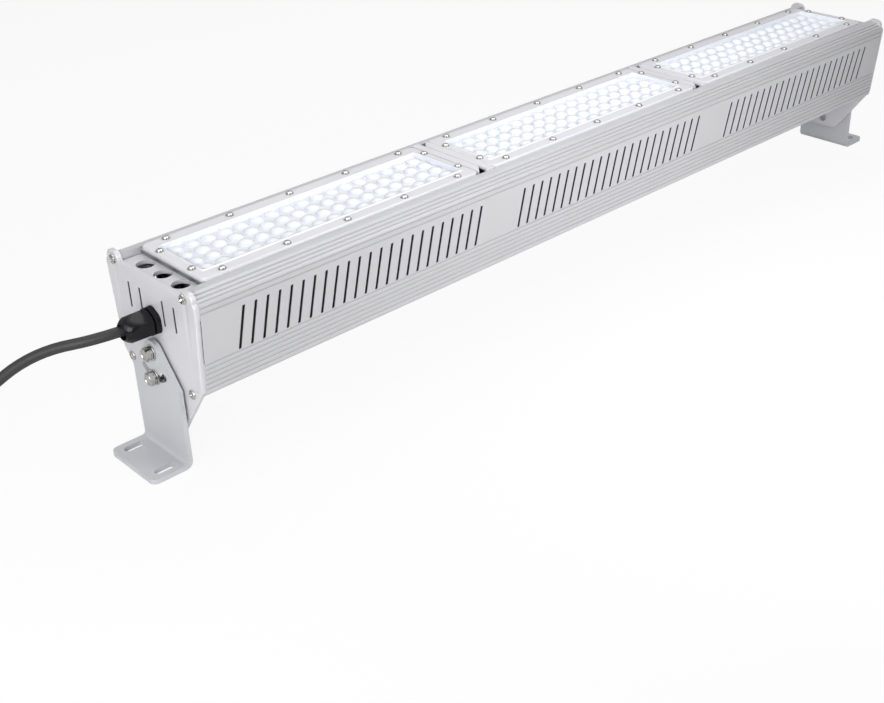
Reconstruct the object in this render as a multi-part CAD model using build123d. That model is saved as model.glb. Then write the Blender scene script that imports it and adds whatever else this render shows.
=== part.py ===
from build123d import *
from math import acos, cos, degrees, hypot, pi, radians, sin, tan
import os

os.makedirs("parts", exist_ok=True)

# A three-module linear high-bay light fixture, lens side up, on two tilting feet.
# X runs along the fixture, Y across it, and Z up from the surface under the feet.
# The origin is in the middle of the fixture, on that surface.

# Length of the fixture
module_count = 3
module_length = 276.0
module_gap = 18.0
end_gap = 17.0

# Heights and widths of the extruded housing
pivot_height = 91.1
pivot_above_base = 26.1
rail_height = 89.8
wall = 2.6
side_half = 60.2
side_flare = 0.08
floor_half = 44.0
corner_rise = 8.0
shoulder_drop = 5.8
corner_radius = 3.0
web_half = 43.0
crown_width = 7.0
lip_half = 30.0
ledge_half = 32.0
ledge_drop = 12.0
ledge_thickness = 3.0

# Grooves along the outside of the rails
groove_width = 2.1
groove_depth = 0.75
groove_bottom = 0.8
lower_groove_count = 6
lower_groove_pitch = 4.2
lower_groove_rise = 4.0
upper_groove_count = 2
upper_groove_pitch = 4.6
upper_groove_rise = 5.8
crown_groove_count = 4
crown_groove_pitch = 3.6
crown_groove_start = 2.0

# Slanted vent slots, one group beside each module
slot_pitch = 11.0
slot_width = 2.6
slot_rise = 35.0
slot_top_margin = 19.3
slot_slant = 0.16
slot_end_margin = 11.0

# Screws that hold the end caps to the rails
cap_screw_radius = 2.0
cap_screw_head_radius = 4.0
cap_screw_head_height = 2.6
cap_screw_length = 20.0
port_half = 3.2
upper_port_offset = 1.0
upper_port_drop = 3.9
lower_port_rise = 4.1
screw_clearance = 0.05

# Small round parts and their holes are turned with this many flats, to keep the whole light
fastener_sides = 12

# End caps
cap_thickness = 4.0
cap_inset = 1.2
cap_top_drop = 4.1
cap_corner_rise = 9.5
cap_tail_drop = 41.5
cap_tail_half = 17.3
cap_tail_radius = 9.0
cap_corner_radius = 5.0
cap_edge_chamfer = 0.8
ear_radius = 6.0
ear_reach = 4.3
cap_groove_half = 46.5
cap_groove_width = 7.0
cap_groove_depth = 0.8
cap_slot_count = 4
cap_slot_width = 2.5
cap_slot_height = 21.4
cap_slot_spacing = 15.0
cap_slot_rise = 62.0
hang_hole_radius = 5.0
hang_hole_rise = 9.0
deck_thickness = 3.0
deck_drop = 5.3
deck_clearance = 1.0
deck_hole_radius = 7.2
deck_hole_spacing = 23.8
deck_hole_setback = 9.0
boss_half = 8.0
boss_depth = 8.0

# Tilting feet, each a folded plate
bracket_thickness = 4.0
bracket_gap = 2.2
bracket_half = 31.0
bracket_shoulder_height = 68.5
bracket_top_radius = 10.0
bend_radius = 3.0
foot_reach = 36.0
foot_corner_radius = 6.0
foot_slot_length = 18.0
foot_slot_width = 7.0
foot_slot_spacing = 43.0
foot_slot_setback = 16.2
lock_radius = 21.5
tilt_limit = 35.0
tilt_margin = 3.0

# Screws and washers of the feet
foot_screw_radius = 3.0
foot_screw_clearance = 0.3
pivot_clearance = 0.2
hex_across_flats = 10.0
hex_head_height = 4.0
flat_washer_radius = 6.5
flat_washer_thickness = 1.2
spring_washer_radius = 5.4
spring_washer_thickness = 1.6
spring_washer_split = 1.5
running_clearance = 0.15

# Light modules
sink_height = 10.0
sink_side_gap = 1.0
pocket_half = 31.5
pocket_depth = 5.0
pocket_end_margin = 6.0
fin_count = 9
fin_thickness = 2.0
fin_side_gap = 1.4
fin_driver_gap = 7.7
fin_end_margin = 4.0
board_thickness = 1.6
board_clearance = 1.0
gasket_thickness = 1.0
lens_thickness = 3.0
lens_pan_clearance = 1.5
lens_wall = 2.0
lens_field_drop = 4.0
lens_border_width = 2.5
lens_border_height = 0.6
dome_rows = 4
dome_pitch = 15.1
dome_radius = 7.4
dome_height = 3.4
dome_taper = 36.0
dome_sides = 4

# Covers over the joints between the modules
bridge_clearance = 0.5
bridge_wall = 2.0
bridge_corner = 9.5
bridge_seam = 0.8

# Tray, driver and terminal block inside the housing
tray_wall = 1.5
tray_port_gap = 1.9
tray_side_height = 12.0
tray_end_gap = 11.0
driver_length = 230.0
driver_width = 60.0
driver_height = 38.0
driver_chamfer = 4.0
driver_plate_thickness = 2.0
driver_flange_length = 12.0
terminal_setback = 71.0
terminal_length = 28.0
terminal_width = 36.0
terminal_height = 16.0
terminal_way_count = 3
terminal_way_pitch = 10.0
terminal_way_width = 5.0
terminal_way_depth = 6.0

# Cable gland in the near end cap
gland_rise = 51.5
gland_thread_radius = 8.0
gland_hex = 22.0
gland_hex_length = 4.5
gland_neck_length = 1.2
gland_bore_radius = 4.7
gland_barrel_length = 8.5
gland_nut_hex = 20.5
gland_nut_length = 22.0
gland_nut_opening = 6.0
gland_nut_chamfer = 3.5
gland_seal_length = 6.0
gland_seal_wall = 2.4
gland_lock_nut_length = 5.0
gland_clearance = 0.1

# Mains lead, with its free length in a coil at the near end
lead_radius = 4.15
lead_inside = 4.0
core_radius = 1.3
core_spread = 1.6
core_length = 24.0
core_fan = 2.7
core_clearance = 0.2
coil_radius = 46.0
coil_turns = 2.55
coil_pitch = 8.4
tie_thickness = 1.0
tie_width = 6.0
tie_clearance = 0.2
tail_length = 45.0

# Stations, widths and heights that the sizes above settle
module_pitch = module_length + module_gap
rail_length = (module_count - 1) * module_pitch + module_length + 2 * end_gap
rail_end = rail_length / 2
cap_face = rail_end + cap_thickness
bracket_face = cap_face + bracket_gap
foot_end = bracket_face + foot_reach
rail_base = pivot_height - pivot_above_base
rail_top = rail_base + rail_height
corner_height = rail_base + corner_rise
shoulder_height = rail_top - shoulder_drop
slot_height = rail_height - slot_rise - slot_top_margin
slot_bottom = rail_base + slot_rise
slot_top = slot_bottom + slot_height
slot_count = int((module_length - 2 * slot_end_margin) / slot_pitch)
crown_half = web_half + crown_width
sink_half = web_half - sink_side_gap
bridge_half = web_half - bridge_clearance
ledge_top = rail_top - ledge_drop
sink_top = ledge_top + sink_height
pocket_floor = sink_top - pocket_depth
lens_base = sink_top + gasket_thickness
lens_top = lens_base + lens_thickness
lens_field = lens_top - lens_field_drop
cap_top = rail_top - cap_top_drop
cap_tail = rail_base - cap_tail_drop
lock_height = pivot_height - lock_radius
gland_height = rail_base + gland_rise
tray_floor = rail_base + wall + tray_wall
fin_bottom = tray_floor + driver_height + fin_driver_gap
fin_pitch = (2 * (ledge_half - fin_side_gap) - fin_thickness) / (fin_count - 1)
upper_port_half = web_half + port_half + upper_port_offset
lower_port_half = floor_half - wall
tray_half = lower_port_half - port_half - tray_port_gap
lower_head_height = bracket_gap - 2 * running_clearance
terminal_place = terminal_setback - rail_end
module_places = [(i - (module_count - 1) / 2) * module_pitch for i in range(module_count)]
joint_places = [(a + b) / 2 for a, b in zip(module_places, module_places[1:])]
upper_ports = [(s * upper_port_half, rail_top - upper_port_drop) for s in (-1, 1)]
lower_ports = [(s * lower_port_half, rail_base + lower_port_rise) for s in (-1, 1)]
foot_pins = [(0, pivot_height), (0, lock_height)]


def side_at(height):
    """Half width of the housing at a height: the sides lean outwards a little."""
    return side_half + side_flare * (height - slot_top)


def rectangle(y0, z0, y1, z1):
    """Rectangle between two corners."""
    return Pos((y0 + y1) / 2, (z0 + z1) / 2) * Rectangle(y1 - y0, z1 - z0)


def discs(places, radius):
    """One disc at each place."""
    return Sketch() + [Pos(y, z) * Circle(radius) for y, z in places]


def small_discs(places, radius):
    """One small disc at each place, drawn with a few flats."""
    return Sketch() + [Pos(y, z) * RegularPolygon(radius, fastener_sides) for y, z in places]


def along_x(profile, start, end):
    """Prism of a profile drawn across the fixture, between two stations along X."""
    return Pos(start, 0, 0) * extrude(Plane.YZ * profile, end - start)


def hexagon(across_flats):
    """Hexagon with two flats upright."""
    return RegularPolygon(across_flats / 2, 6, major_radius=False, rotation=30)


def block(x, y, z0, length, width, height):
    """Box that stands at height z0, centred on x and y."""
    return Pos(x, y, z0 + height / 2) * Box(length, width, height)


def near(solid):
    """The same piece at the near end, mirrored from the far end."""
    return mirror(solid, about=Plane.YZ)


# Extruded rails

def housing_outline():
    """Outline of the two closed rails together, seen along the fixture."""
    right = [
        (floor_half, rail_base),
        (side_at(corner_height), corner_height),
        (side_at(shoulder_height), shoulder_height),
        (crown_half, rail_top),
    ]
    left = [(-y, z) for y, z in reversed(right)]
    outline = Polygon(*right, *left, align=None)
    return fillet(outline.vertices(), corner_radius)


def groove_places():
    """Places of the long grooves on the rear rail's side and sloped crown, with the way that each faces."""
    heights = [corner_height + lower_groove_rise + i * lower_groove_pitch for i in range(lower_groove_count)]
    heights += [slot_top + upper_groove_rise + i * upper_groove_pitch for i in range(upper_groove_count)]
    sides = [(side_at(z), z, 0) for z in heights]
    shoulder = side_at(shoulder_height)
    slope = hypot(shoulder - crown_half, shoulder_drop)
    inward = (crown_half - shoulder) / slope
    upward = shoulder_drop / slope
    facing = degrees(acos(upward))
    steps = [crown_groove_start + i * crown_groove_pitch for i in range(crown_groove_count)]
    crown = [(shoulder + inward * step, shoulder_height + upward * step, facing) for step in steps]
    return sides + crown


def groove():
    """Section of one groove about a point of the surface that faces +X: sloped walls and a flat bottom."""
    wall_slope = (groove_width - groove_bottom) / 2 / groove_depth
    mouth = groove_width / 2 + wall_slope * groove_depth
    bottom = groove_bottom / 2
    corners = [(-groove_depth, -bottom), (groove_depth, -mouth), (groove_depth, mouth), (-groove_depth, bottom)]
    return Polygon(*corners, align=None)


def rail_section():
    """Section of the rear rail: skin, web, ledge, screw ports and grooves."""
    outline = housing_outline()
    far_side = 2 * side_half
    ledge_bottom = ledge_top - ledge_thickness
    kept = rectangle(lip_half, 0, far_side, ledge_bottom) + rectangle(web_half, ledge_bottom, far_side, 2 * rail_top)
    skin = (outline - offset(outline, -wall, kind=Kind.INTERSECTION)) & kept
    web = rectangle(web_half, ledge_bottom, web_half + wall, rail_top)
    ledge = rectangle(ledge_half, ledge_bottom, web_half + wall, ledge_top)
    places = [upper_ports[1], lower_ports[1]]
    ports = Sketch() + [Pos(y, z) * Rectangle(2 * port_half, 2 * port_half) for y, z in places]
    holes = small_discs(places, cap_screw_radius + screw_clearance)
    grooves = Sketch() + [Pos(y, z) * Rot(0, 0, facing) * groove() for y, z, facing in groove_places()]
    return skin + web + ledge + ports - holes - grooves


def slot_cutter():
    """All vent slots of one rail as one cutting body through the outer wall."""
    lean = slot_slant * slot_height / 2
    half = slot_width / 2
    corners = [
        (-half - lean, slot_bottom),
        (half - lean, slot_bottom),
        (half + lean, slot_top),
        (-half + lean, slot_top),
    ]
    slot = Polygon(*corners, align=None)
    first = -(slot_count - 1) / 2 * slot_pitch
    places = [x + first + i * slot_pitch for x in module_places for i in range(slot_count)]
    slots = Sketch() + [Pos(x, 0) * slot for x in places]
    return extrude(Plane.XZ.offset(side_half - 2 * wall) * slots, 4 * wall)


def front_rail():
    """Rail on the front side, whose slots lean towards the far end."""
    rear = along_x(rail_section(), -rail_end, rail_end)
    return mirror(rear, about=Plane.XZ) - slot_cutter()


# End caps

def cap_outline():
    """Outline of an end cap with its hanging tail."""
    corner = rail_base + cap_corner_rise
    right = [
        (cap_tail_half, cap_tail),
        (side_at(corner) - cap_inset, corner),
        (side_at(cap_top) - cap_inset, cap_top),
    ]
    left = [(-y, z) for y, z in reversed(right)]
    outline = Polygon(*right, *left, align=None)
    tail = outline.vertices().filter_by_position(Axis.Y, cap_tail - 1, cap_tail + 1)
    outline = fillet(tail, cap_tail_radius)
    others = outline.vertices().filter_by_position(Axis.Y, corner - 1, rail_top)
    return fillet(others, cap_corner_radius)


def cap_layer(outline):
    """One outline at the thickness of the cap, with its outer edge chamfered."""
    layer = along_x(outline, rail_end, cap_face)
    return chamfer(layer.faces().sort_by(Axis.X)[-1].edges(), cap_edge_chamfer)


def cap_openings():
    """Vent slots, hanging hole and screw holes of an end cap."""
    first = -(cap_slot_count - 1) / 2 * cap_slot_spacing
    slots = [
        Pos(first + i * cap_slot_spacing, rail_base + cap_slot_rise) * Rectangle(cap_slot_width, cap_slot_height)
        for i in range(cap_slot_count)
    ]
    screws = small_discs(upper_ports + lower_ports, cap_screw_radius + screw_clearance)
    pins = small_discs(foot_pins, foot_screw_radius + screw_clearance)
    hanging = discs([(0, cap_tail + hang_hole_rise)], hang_hole_radius)
    return Sketch() + slots + screws + pins + hanging


def cap_grooves():
    """Two wide shallow grooves down the outer face of an end cap, beside its edges."""
    half = cap_groove_width / 2
    corners = [(cap_face, -half), (cap_face, half), (cap_face - cap_groove_depth, 0)]
    wedge = extrude(Polygon(*corners, align=None), cap_top - corner_height)
    return Part() + [Pos(0, side * cap_groove_half, corner_height) * wedge for side in (-1, 1)]


def end_cap():
    """Far end cap: plate, bosses for the foot screws, and a perforated deck behind its top edge."""
    plate = cap_layer(cap_outline())
    for y, z in upper_ports:
        middle = y * (1 + ear_reach / (2 * upper_port_half))
        plate += cap_layer(Pos(middle, z) * SlotOverall(2 * ear_radius + ear_reach, 2 * ear_radius))
    plate -= cap_grooves()
    boss = rectangle(-boss_half, lock_height - boss_half, boss_half, pivot_height + boss_half)
    plate += along_x(boss, rail_end - boss_depth, rail_end)
    deck_half = web_half - deck_clearance
    deck_top = rail_top - deck_drop
    deck = along_x(rectangle(-deck_half, deck_top - deck_thickness, deck_half, deck_top), rail_end - end_gap, rail_end)
    holes = [
        Pos(rail_end - deck_hole_setback, i * deck_hole_spacing, deck_top) * Cylinder(deck_hole_radius, 4 * deck_thickness)
        for i in (-1, 0, 1)
    ]
    deck = deck - holes
    return plate + deck - along_x(cap_openings(), rail_end - boss_depth, cap_face)


def gland_hole():
    """Hole of the gland through the near end cap."""
    circle = discs([(0, gland_height)], gland_thread_radius + gland_clearance)
    return along_x(circle, -cap_face, -rail_end)


def cap_screws():
    """Eight pan-head screws, four in each end cap; the feet swing past the heads of the lower ones."""
    shanks = small_discs(upper_ports + lower_ports, cap_screw_radius)
    far = along_x(shanks, cap_face - cap_screw_length, cap_face)
    for places, height in ((upper_ports, cap_screw_head_height), (lower_ports, lower_head_height)):
        far += along_x(small_discs(places, cap_screw_head_radius), cap_face, cap_face + height)
    return far + near(far)


# Tilting feet

def bracket():
    """Far foot: a folded plate with its pivot hole, its arc slot and two foot slots."""
    outer = bracket_face + bracket_thickness
    top = pivot_height + bracket_top_radius
    corners = [
        (bracket_face, 0),
        (foot_end, 0),
        (foot_end, bracket_thickness),
        (outer, bracket_thickness),
        (outer, top),
        (bracket_face, top),
    ]
    profile = Polygon(*corners, align=None)
    outside = profile.vertices().sort_by_distance((bracket_face, 0, 0))[0]
    profile = fillet(outside, bend_radius + bracket_thickness)
    inside = profile.vertices().sort_by_distance((outer, bracket_thickness, 0))[0]
    profile = fillet(inside, bend_radius)
    folded = extrude(Plane.XZ * profile, bracket_half, both=True)
    base = rectangle(-bracket_half, 0, bracket_half, bracket_shoulder_height)
    head = Pos(0, pivot_height) * Circle(bracket_top_radius)
    outline = make_hull(base.edges() + head.edges())
    folded &= along_x(outline, bracket_face, foot_end)
    toes = folded.edges().filter_by(Axis.Z).group_by(Axis.X)[-1]
    folded = fillet(toes, foot_corner_radius)
    sweep_angle = 2 * (tilt_limit + tilt_margin)
    path = CenterArc((0, pivot_height), lock_radius, 270 - sweep_angle / 2, sweep_angle)
    arc_slot = SlotArc(path, 2 * (foot_screw_radius + foot_screw_clearance))
    pivot_hole = Pos(0, pivot_height) * Circle(foot_screw_radius + pivot_clearance)
    folded -= along_x(arc_slot + pivot_hole, bracket_face, outer)
    slot = extrude(SlotOverall(foot_slot_length, foot_slot_width), bracket_thickness)
    slot_place = foot_end - foot_slot_setback
    return folded - [Pos(slot_place, s * foot_slot_spacing / 2, 0) * slot for s in (-1, 1)]


def washers(outer_radius, start, thickness, split=0):
    """Washers on the pivot and lock screws of both feet."""
    rings = small_discs(foot_pins, outer_radius) - small_discs(foot_pins, foot_screw_radius + screw_clearance)
    if split:
        for y, z in foot_pins:
            rings -= rectangle(y - split / 2, z, y + split / 2, z + 2 * outer_radius)
    far = along_x(rings, start, start + thickness)
    return far + near(far)


def foot_screws(height, seat):
    """One hexagon-head screw in each foot, at one height."""
    head = Pos(0, height) * hexagon(hex_across_flats)
    shank = small_discs([(0, height)], foot_screw_radius)
    far = along_x(head, seat, seat + hex_head_height) + along_x(shank, rail_end - boss_depth, seat)
    return far + near(far)


# Light modules, drawn about their own middle

def heat_sink():
    """Finned base with a pocket for the board."""
    body = block(0, 0, ledge_top, module_length, 2 * sink_half, sink_height)
    pocket_length = module_length - 2 * pocket_end_margin
    body -= block(0, 0, pocket_floor, pocket_length, 2 * pocket_half, pocket_depth)
    fin_length = module_length - 2 * fin_end_margin
    first = -(fin_count - 1) / 2 * fin_pitch
    fins = [
        block(0, first + i * fin_pitch, fin_bottom, fin_length, fin_thickness, ledge_top - fin_bottom)
        for i in range(fin_count)
    ]
    return body + fins


def led_board():
    """Circuit board in the pocket."""
    length = module_length - 2 * pocket_end_margin - 2 * board_clearance
    return block(0, 0, pocket_floor, length, 2 * (pocket_half - board_clearance), board_thickness)


def lens_gasket():
    """Seal between the base and the lens."""
    frame = block(0, 0, sink_top, module_length, 2 * sink_half, gasket_thickness)
    return frame - block(0, 0, sink_top, module_length - 2 * pocket_end_margin, 2 * pocket_half, gasket_thickness)


def lens_panel():
    """Moulded lens: flange, sunk field, border and a grid of raised lenses."""
    pan_length = module_length - 2 * pocket_end_margin - 2 * lens_pan_clearance
    pan_half = pocket_half - lens_pan_clearance
    field_length = pan_length - 2 * lens_wall
    field_half = pan_half - lens_wall
    pan_bottom = lens_field - lens_wall
    flange = block(0, 0, lens_base, module_length, 2 * sink_half, lens_thickness)
    border_top = lens_top + lens_border_height
    border_length = field_length + 2 * lens_border_width
    border_half = field_half + lens_border_width
    border = block(0, 0, lens_top, border_length, 2 * border_half, lens_border_height)
    pan = block(0, 0, pan_bottom, pan_length, 2 * pan_half, lens_top - pan_bottom)
    field = block(0, 0, lens_field, field_length, 2 * field_half, border_top - lens_field)
    dome = extrude(RegularPolygon(dome_radius, dome_sides, rotation=180 / dome_sides), dome_height, taper=dome_taper)
    dome_columns = int(field_length / dome_pitch)
    places = GridLocations(dome_pitch, 2 * field_half / dome_rows, dome_columns, dome_rows)
    domes = [Pos(0, 0, lens_field) * place * dome for place in places]
    return flange + border + pan - field + domes


def module_bridges():
    """Covers level with the lens panels, each with a seam and two opposite corners cut away at it."""
    half_length = module_gap / 2 - bridge_clearance
    height = lens_top - ledge_top
    outer = rectangle(-bridge_half, ledge_top, bridge_half, lens_top)
    inner = rectangle(bridge_wall - bridge_half, ledge_top, bridge_half - bridge_wall, lens_top - bridge_wall)
    cover = along_x(outer - inner, -half_length, half_length)
    cover -= block(0, 0, lens_top - bridge_seam, bridge_seam, 2 * bridge_half, bridge_seam)
    corner = Polygon((0, -bridge_half), (0, bridge_corner - bridge_half), (-half_length, -bridge_half), align=None)
    notch = Pos(0, 0, ledge_top) * extrude(corner, height)
    cover = cover - notch - Rot(0, 0, 180) * notch
    return Part() + [Pos(x, 0, 0) * cover for x in joint_places]


# Tray, driver and terminal block

def bottom_tray():
    """Folded tray that closes the underside between the rails."""
    outer = rectangle(-tray_half, rail_base + wall, tray_half, rail_base + wall + tray_side_height)
    inner_half = tray_half - tray_wall
    inner = rectangle(-inner_half, tray_floor, inner_half, tray_floor + tray_side_height)
    tray_end = rail_end - tray_end_gap
    return along_x(outer - inner, -tray_end, tray_end)


def driver_case():
    """Extruded driver case with two sloped top edges."""
    outline = rectangle(-driver_width / 2, tray_floor, driver_width / 2, tray_floor + driver_height)
    crown = outline.vertices().group_by(Axis.Y)[-1]
    outline = chamfer(crown, driver_chamfer)
    return along_x(outline, -driver_length / 2, driver_length / 2)


def driver_end_plates():
    """End plates of the driver with the flanges that it is screwed down by."""
    half = driver_length / 2
    plate = along_x(
        rectangle(-driver_width / 2, tray_floor, driver_width / 2, tray_floor + driver_height - driver_chamfer),
        half,
        half + driver_plate_thickness,
    )
    flange_length = driver_flange_length + driver_plate_thickness
    plate += block(half + flange_length / 2, 0, tray_floor, flange_length, driver_width, driver_plate_thickness)
    return plate + near(plate)


def terminal_block():
    """Terminal block near the gland, with a clamp well for each core."""
    body = block(terminal_place, 0, tray_floor, terminal_length, terminal_width, terminal_height)
    top = tray_floor + terminal_height
    first = -(terminal_way_count - 1) / 2 * terminal_way_pitch
    wells = [
        block(
            terminal_place, first + i * terminal_way_pitch, top - terminal_way_depth,
            terminal_way_width, terminal_way_width, terminal_way_depth,
        )
        for i in range(terminal_way_count)
    ]
    return body - wells


# Cable gland

gland_seat = cap_face + gland_hex_length
gland_nut_start = gland_seat + gland_neck_length
gland_nut_end = gland_nut_start + gland_nut_length
gland_barrel_end = gland_nut_start + gland_barrel_length
gland_inner_end = rail_end - gland_lock_nut_length
seal_start = gland_barrel_end - gland_seal_length
seal_radius = lead_radius + gland_seal_wall


def ring(outer_radius, inner_radius, start, end):
    """Ring about the gland axis between two stations."""
    return along_x(discs([(0, gland_height)], outer_radius) - discs([(0, gland_height)], inner_radius), start, end)


def gland_body():
    """Threaded body with its hexagon, its bore and the seat of the seal."""
    thread = discs([(0, gland_height)], gland_thread_radius)
    body = along_x(thread, gland_inner_end, gland_barrel_end)
    body += along_x(Pos(0, gland_height) * hexagon(gland_hex), cap_face, gland_seat)
    body -= along_x(discs([(0, gland_height)], gland_bore_radius), gland_inner_end, gland_barrel_end)
    return near(body - along_x(discs([(0, gland_height)], seal_radius), seal_start, gland_barrel_end))


def gland_lock_nut():
    """Nut that clamps the gland from inside the cap."""
    nut = Pos(0, gland_height) * hexagon(gland_hex) - discs([(0, gland_height)], gland_thread_radius + gland_clearance)
    return near(along_x(nut, gland_inner_end, rail_end))


def gland_seal():
    """Rubber seal around the lead."""
    return near(ring(seal_radius, lead_radius, seal_start, gland_barrel_end))


def gland_dome_nut():
    """Outer nut, with a sloped front and a wide mouth for the lead."""
    nut = along_x(Pos(0, gland_height) * hexagon(gland_nut_hex), gland_nut_start, gland_nut_end)
    nut = chamfer(nut.faces().sort_by(Axis.X)[-1].edges(), gland_nut_chamfer)
    thread = discs([(0, gland_height)], gland_thread_radius + gland_clearance)
    nut -= along_x(thread, gland_nut_start, gland_barrel_end + gland_clearance)
    return near(nut - along_x(discs([(0, gland_height)], gland_nut_opening), gland_nut_start, gland_nut_end))


# Mains lead

coil_base = tie_thickness + tie_clearance
lead_points = [
    (-gland_inner_end + lead_inside, 0, gland_height),
    (-490, 0, gland_height),
    (-535, 36, 108),
    (-575, 60, 74),
    (-618, 82, 46),
    (-672, 100, coil_base + lead_radius + coil_turns * coil_pitch),
]
coil_top = lead_points[-1][2] + lead_radius


def coil_middle():
    """Centre of the coil, so that the lead runs into its top turn along the tangent."""
    run = Vector(*lead_points[-1]) - Vector(*lead_points[-2])
    along = Vector(run.X, run.Y, 0).normalized()
    inward = Vector(-along.Y, along.X, 0)
    entry = Vector(*lead_points[-1])
    return Vector(entry.X, entry.Y, 0) + inward * coil_radius


def bend_radii(points):
    """Bend radius at each inner point: nine tenths of the shorter neighbouring run is bent."""
    radii = []
    for before, here, after in zip(points, points[1:], points[2:]):
        arriving = Vector(*here) - Vector(*before)
        leaving = Vector(*after) - Vector(*here)
        half_turn = radians(arriving.get_angle(leaving)) / 2
        shorter = min(arriving.length, leaving.length)
        radii.append(0.45 * shorter / tan(half_turn))
    return radii


def mains_lead():
    """The part of the lead that isn't coiled."""
    radii = bend_radii(lead_points)
    print("lead bend radii", [round(radius, 1) for radius in radii])
    path = FilletPolyline(*lead_points, radius=radii)
    start = Plane(origin=lead_points[0], z_dir=path % 0)
    tube = sweep(start * Circle(lead_radius), path=path)
    print("lead volume over section times length", round(tube.volume / (pi * lead_radius**2 * path.length), 4))
    return tube


def lead_coil():
    """Outer shape of the coiled length."""
    middle = coil_middle()
    height = coil_top - coil_base
    outside = Cylinder(coil_radius + lead_radius, height) - Cylinder(coil_radius - lead_radius, height)
    return Pos(middle.X, middle.Y, coil_base + height / 2) * outside


def coil_tie():
    """Tie around the coil, on the side away from the fixture."""
    middle = coil_middle()
    width = 2 * (lead_radius + tie_clearance)
    height = coil_top + tie_clearance
    inner = Pos(0, (coil_base - tie_clearance + height) / 2) * Rectangle(width, height - coil_base + tie_clearance)
    outer = offset(inner, tie_thickness, kind=Kind.INTERSECTION)
    band = extrude(Plane.XZ * (outer - inner), tie_width / 2, both=True)
    return Pos(middle.X - coil_radius, middle.Y, 0) * band


def tail_start():
    """Where the lead leaves the coil, on the side away from the fixture."""
    middle = coil_middle()
    return Vector(middle.X, middle.Y - coil_radius, coil_base + lead_radius)


def lead_tail():
    """Free end of the lead beyond the coil."""
    start = tail_start()
    return Pos(start.X, start.Y, start.Z) * Rot(0, 90, 0) * Cylinder(
        lead_radius, tail_length, align=(Align.CENTER, Align.CENTER, Align.MIN)
    )


def fanned_cores(start, run):
    """Three bare-ended cores from a start point along a run, fanned out a little."""
    cores = []
    for i in range(3):
        turn = radians(90 + 120 * i)
        ring_place = Vector(0, cos(turn), sin(turn))
        root = start + ring_place * core_spread
        tip = start + run + ring_place * (core_spread + core_fan)
        axis = tip - root
        cores.append(Plane(origin=root, z_dir=axis) * Cylinder(
            core_radius, axis.length, align=(Align.CENTER, Align.CENTER, Align.MIN)
        ))
    return Part() + cores


def lead_cores():
    """Cores at the free end of the lead."""
    return fanned_cores(tail_start() + Vector(tail_length + core_clearance, 0, 0), Vector(core_length, 0, 0))


rear_turn = Rot(0, 0, 180)
front = front_rail()
far_cap = end_cap()
far_bracket = bracket()
spacer_end = bracket_face - running_clearance
washer_seat = bracket_face + bracket_thickness + running_clearance
spring_seat = washer_seat + flat_washer_thickness
head_seat = spring_seat + spring_washer_thickness

pieces = {
    "front_rail": front,
    "rear_rail": rear_turn * front,
    "near_end_cap": near(far_cap) - gland_hole(),
    "far_end_cap": far_cap,
    "cap_screws": cap_screws(),
    "bottom_tray": bottom_tray(),
    "module_bridges": module_bridges(),
    "near_bracket": near(far_bracket),
    "far_bracket": far_bracket,
    "bracket_spacers": washers(flat_washer_radius, cap_face, spacer_end - cap_face),
    "bracket_flat_washers": washers(flat_washer_radius, washer_seat, flat_washer_thickness),
    "bracket_spring_washers": washers(
        spring_washer_radius, spring_seat, spring_washer_thickness, spring_washer_split
    ),
    "pivot_screws": foot_screws(pivot_height, head_seat),
    "lock_screws": foot_screws(lock_height, head_seat),
    "driver_case": driver_case(),
    "driver_end_plates": driver_end_plates(),
    "terminal_block": terminal_block(),
    "gland_body": gland_body(),
    "gland_lock_nut": gland_lock_nut(),
    "gland_seal": gland_seal(),
    "gland_dome_nut": gland_dome_nut(),
    "mains_lead": mains_lead(),
    "lead_coil": lead_coil(),
    "coil_tie": coil_tie(),
    "lead_tail": lead_tail(),
    "lead_cores": lead_cores(),
}

module_pieces = {
    "heat_sink": heat_sink(),
    "led_board": led_board(),
    "lens_gasket": lens_gasket(),
    "lens_panel": lens_panel(),
}
for name, piece in module_pieces.items():
    for number, place in enumerate(module_places, start=1):
        pieces[f"{name}_{number}"] = Pos(place, 0, 0) * piece

for name, piece in pieces.items():
    export_step(piece, f"parts/{name}.step")
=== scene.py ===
"""Visual model of a three-module linear light fixture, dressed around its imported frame."""

import logging
import math
from dataclasses import dataclass, field
from enum import Enum

import bmesh
import bpy
from mathutils import Matrix, Vector


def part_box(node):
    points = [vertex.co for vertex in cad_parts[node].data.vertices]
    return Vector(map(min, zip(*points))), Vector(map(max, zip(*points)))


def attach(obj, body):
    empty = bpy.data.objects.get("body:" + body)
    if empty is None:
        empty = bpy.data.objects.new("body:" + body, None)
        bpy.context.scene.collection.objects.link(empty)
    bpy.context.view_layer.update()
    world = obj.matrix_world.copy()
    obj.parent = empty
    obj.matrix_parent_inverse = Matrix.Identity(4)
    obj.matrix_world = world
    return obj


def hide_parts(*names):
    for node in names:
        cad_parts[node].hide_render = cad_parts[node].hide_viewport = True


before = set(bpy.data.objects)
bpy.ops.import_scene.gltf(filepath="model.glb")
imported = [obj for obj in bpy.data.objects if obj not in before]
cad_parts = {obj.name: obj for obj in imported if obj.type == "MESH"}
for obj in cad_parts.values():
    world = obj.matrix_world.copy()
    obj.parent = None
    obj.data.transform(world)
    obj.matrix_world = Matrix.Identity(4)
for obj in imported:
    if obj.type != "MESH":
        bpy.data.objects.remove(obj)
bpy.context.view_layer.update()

LOG = logging.getLogger("light_fixture")
MM = 0.001
IN_PLACE = Matrix.Identity(4)
HOUSING = "housing"

Point = tuple[float, float]
Triple = tuple[float, float, float]


class Ends(Enum):
    """How a row of loops ends."""

    CLOSED = "a face on each end loop"
    JOINED = "the last loop joins the first"


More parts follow.
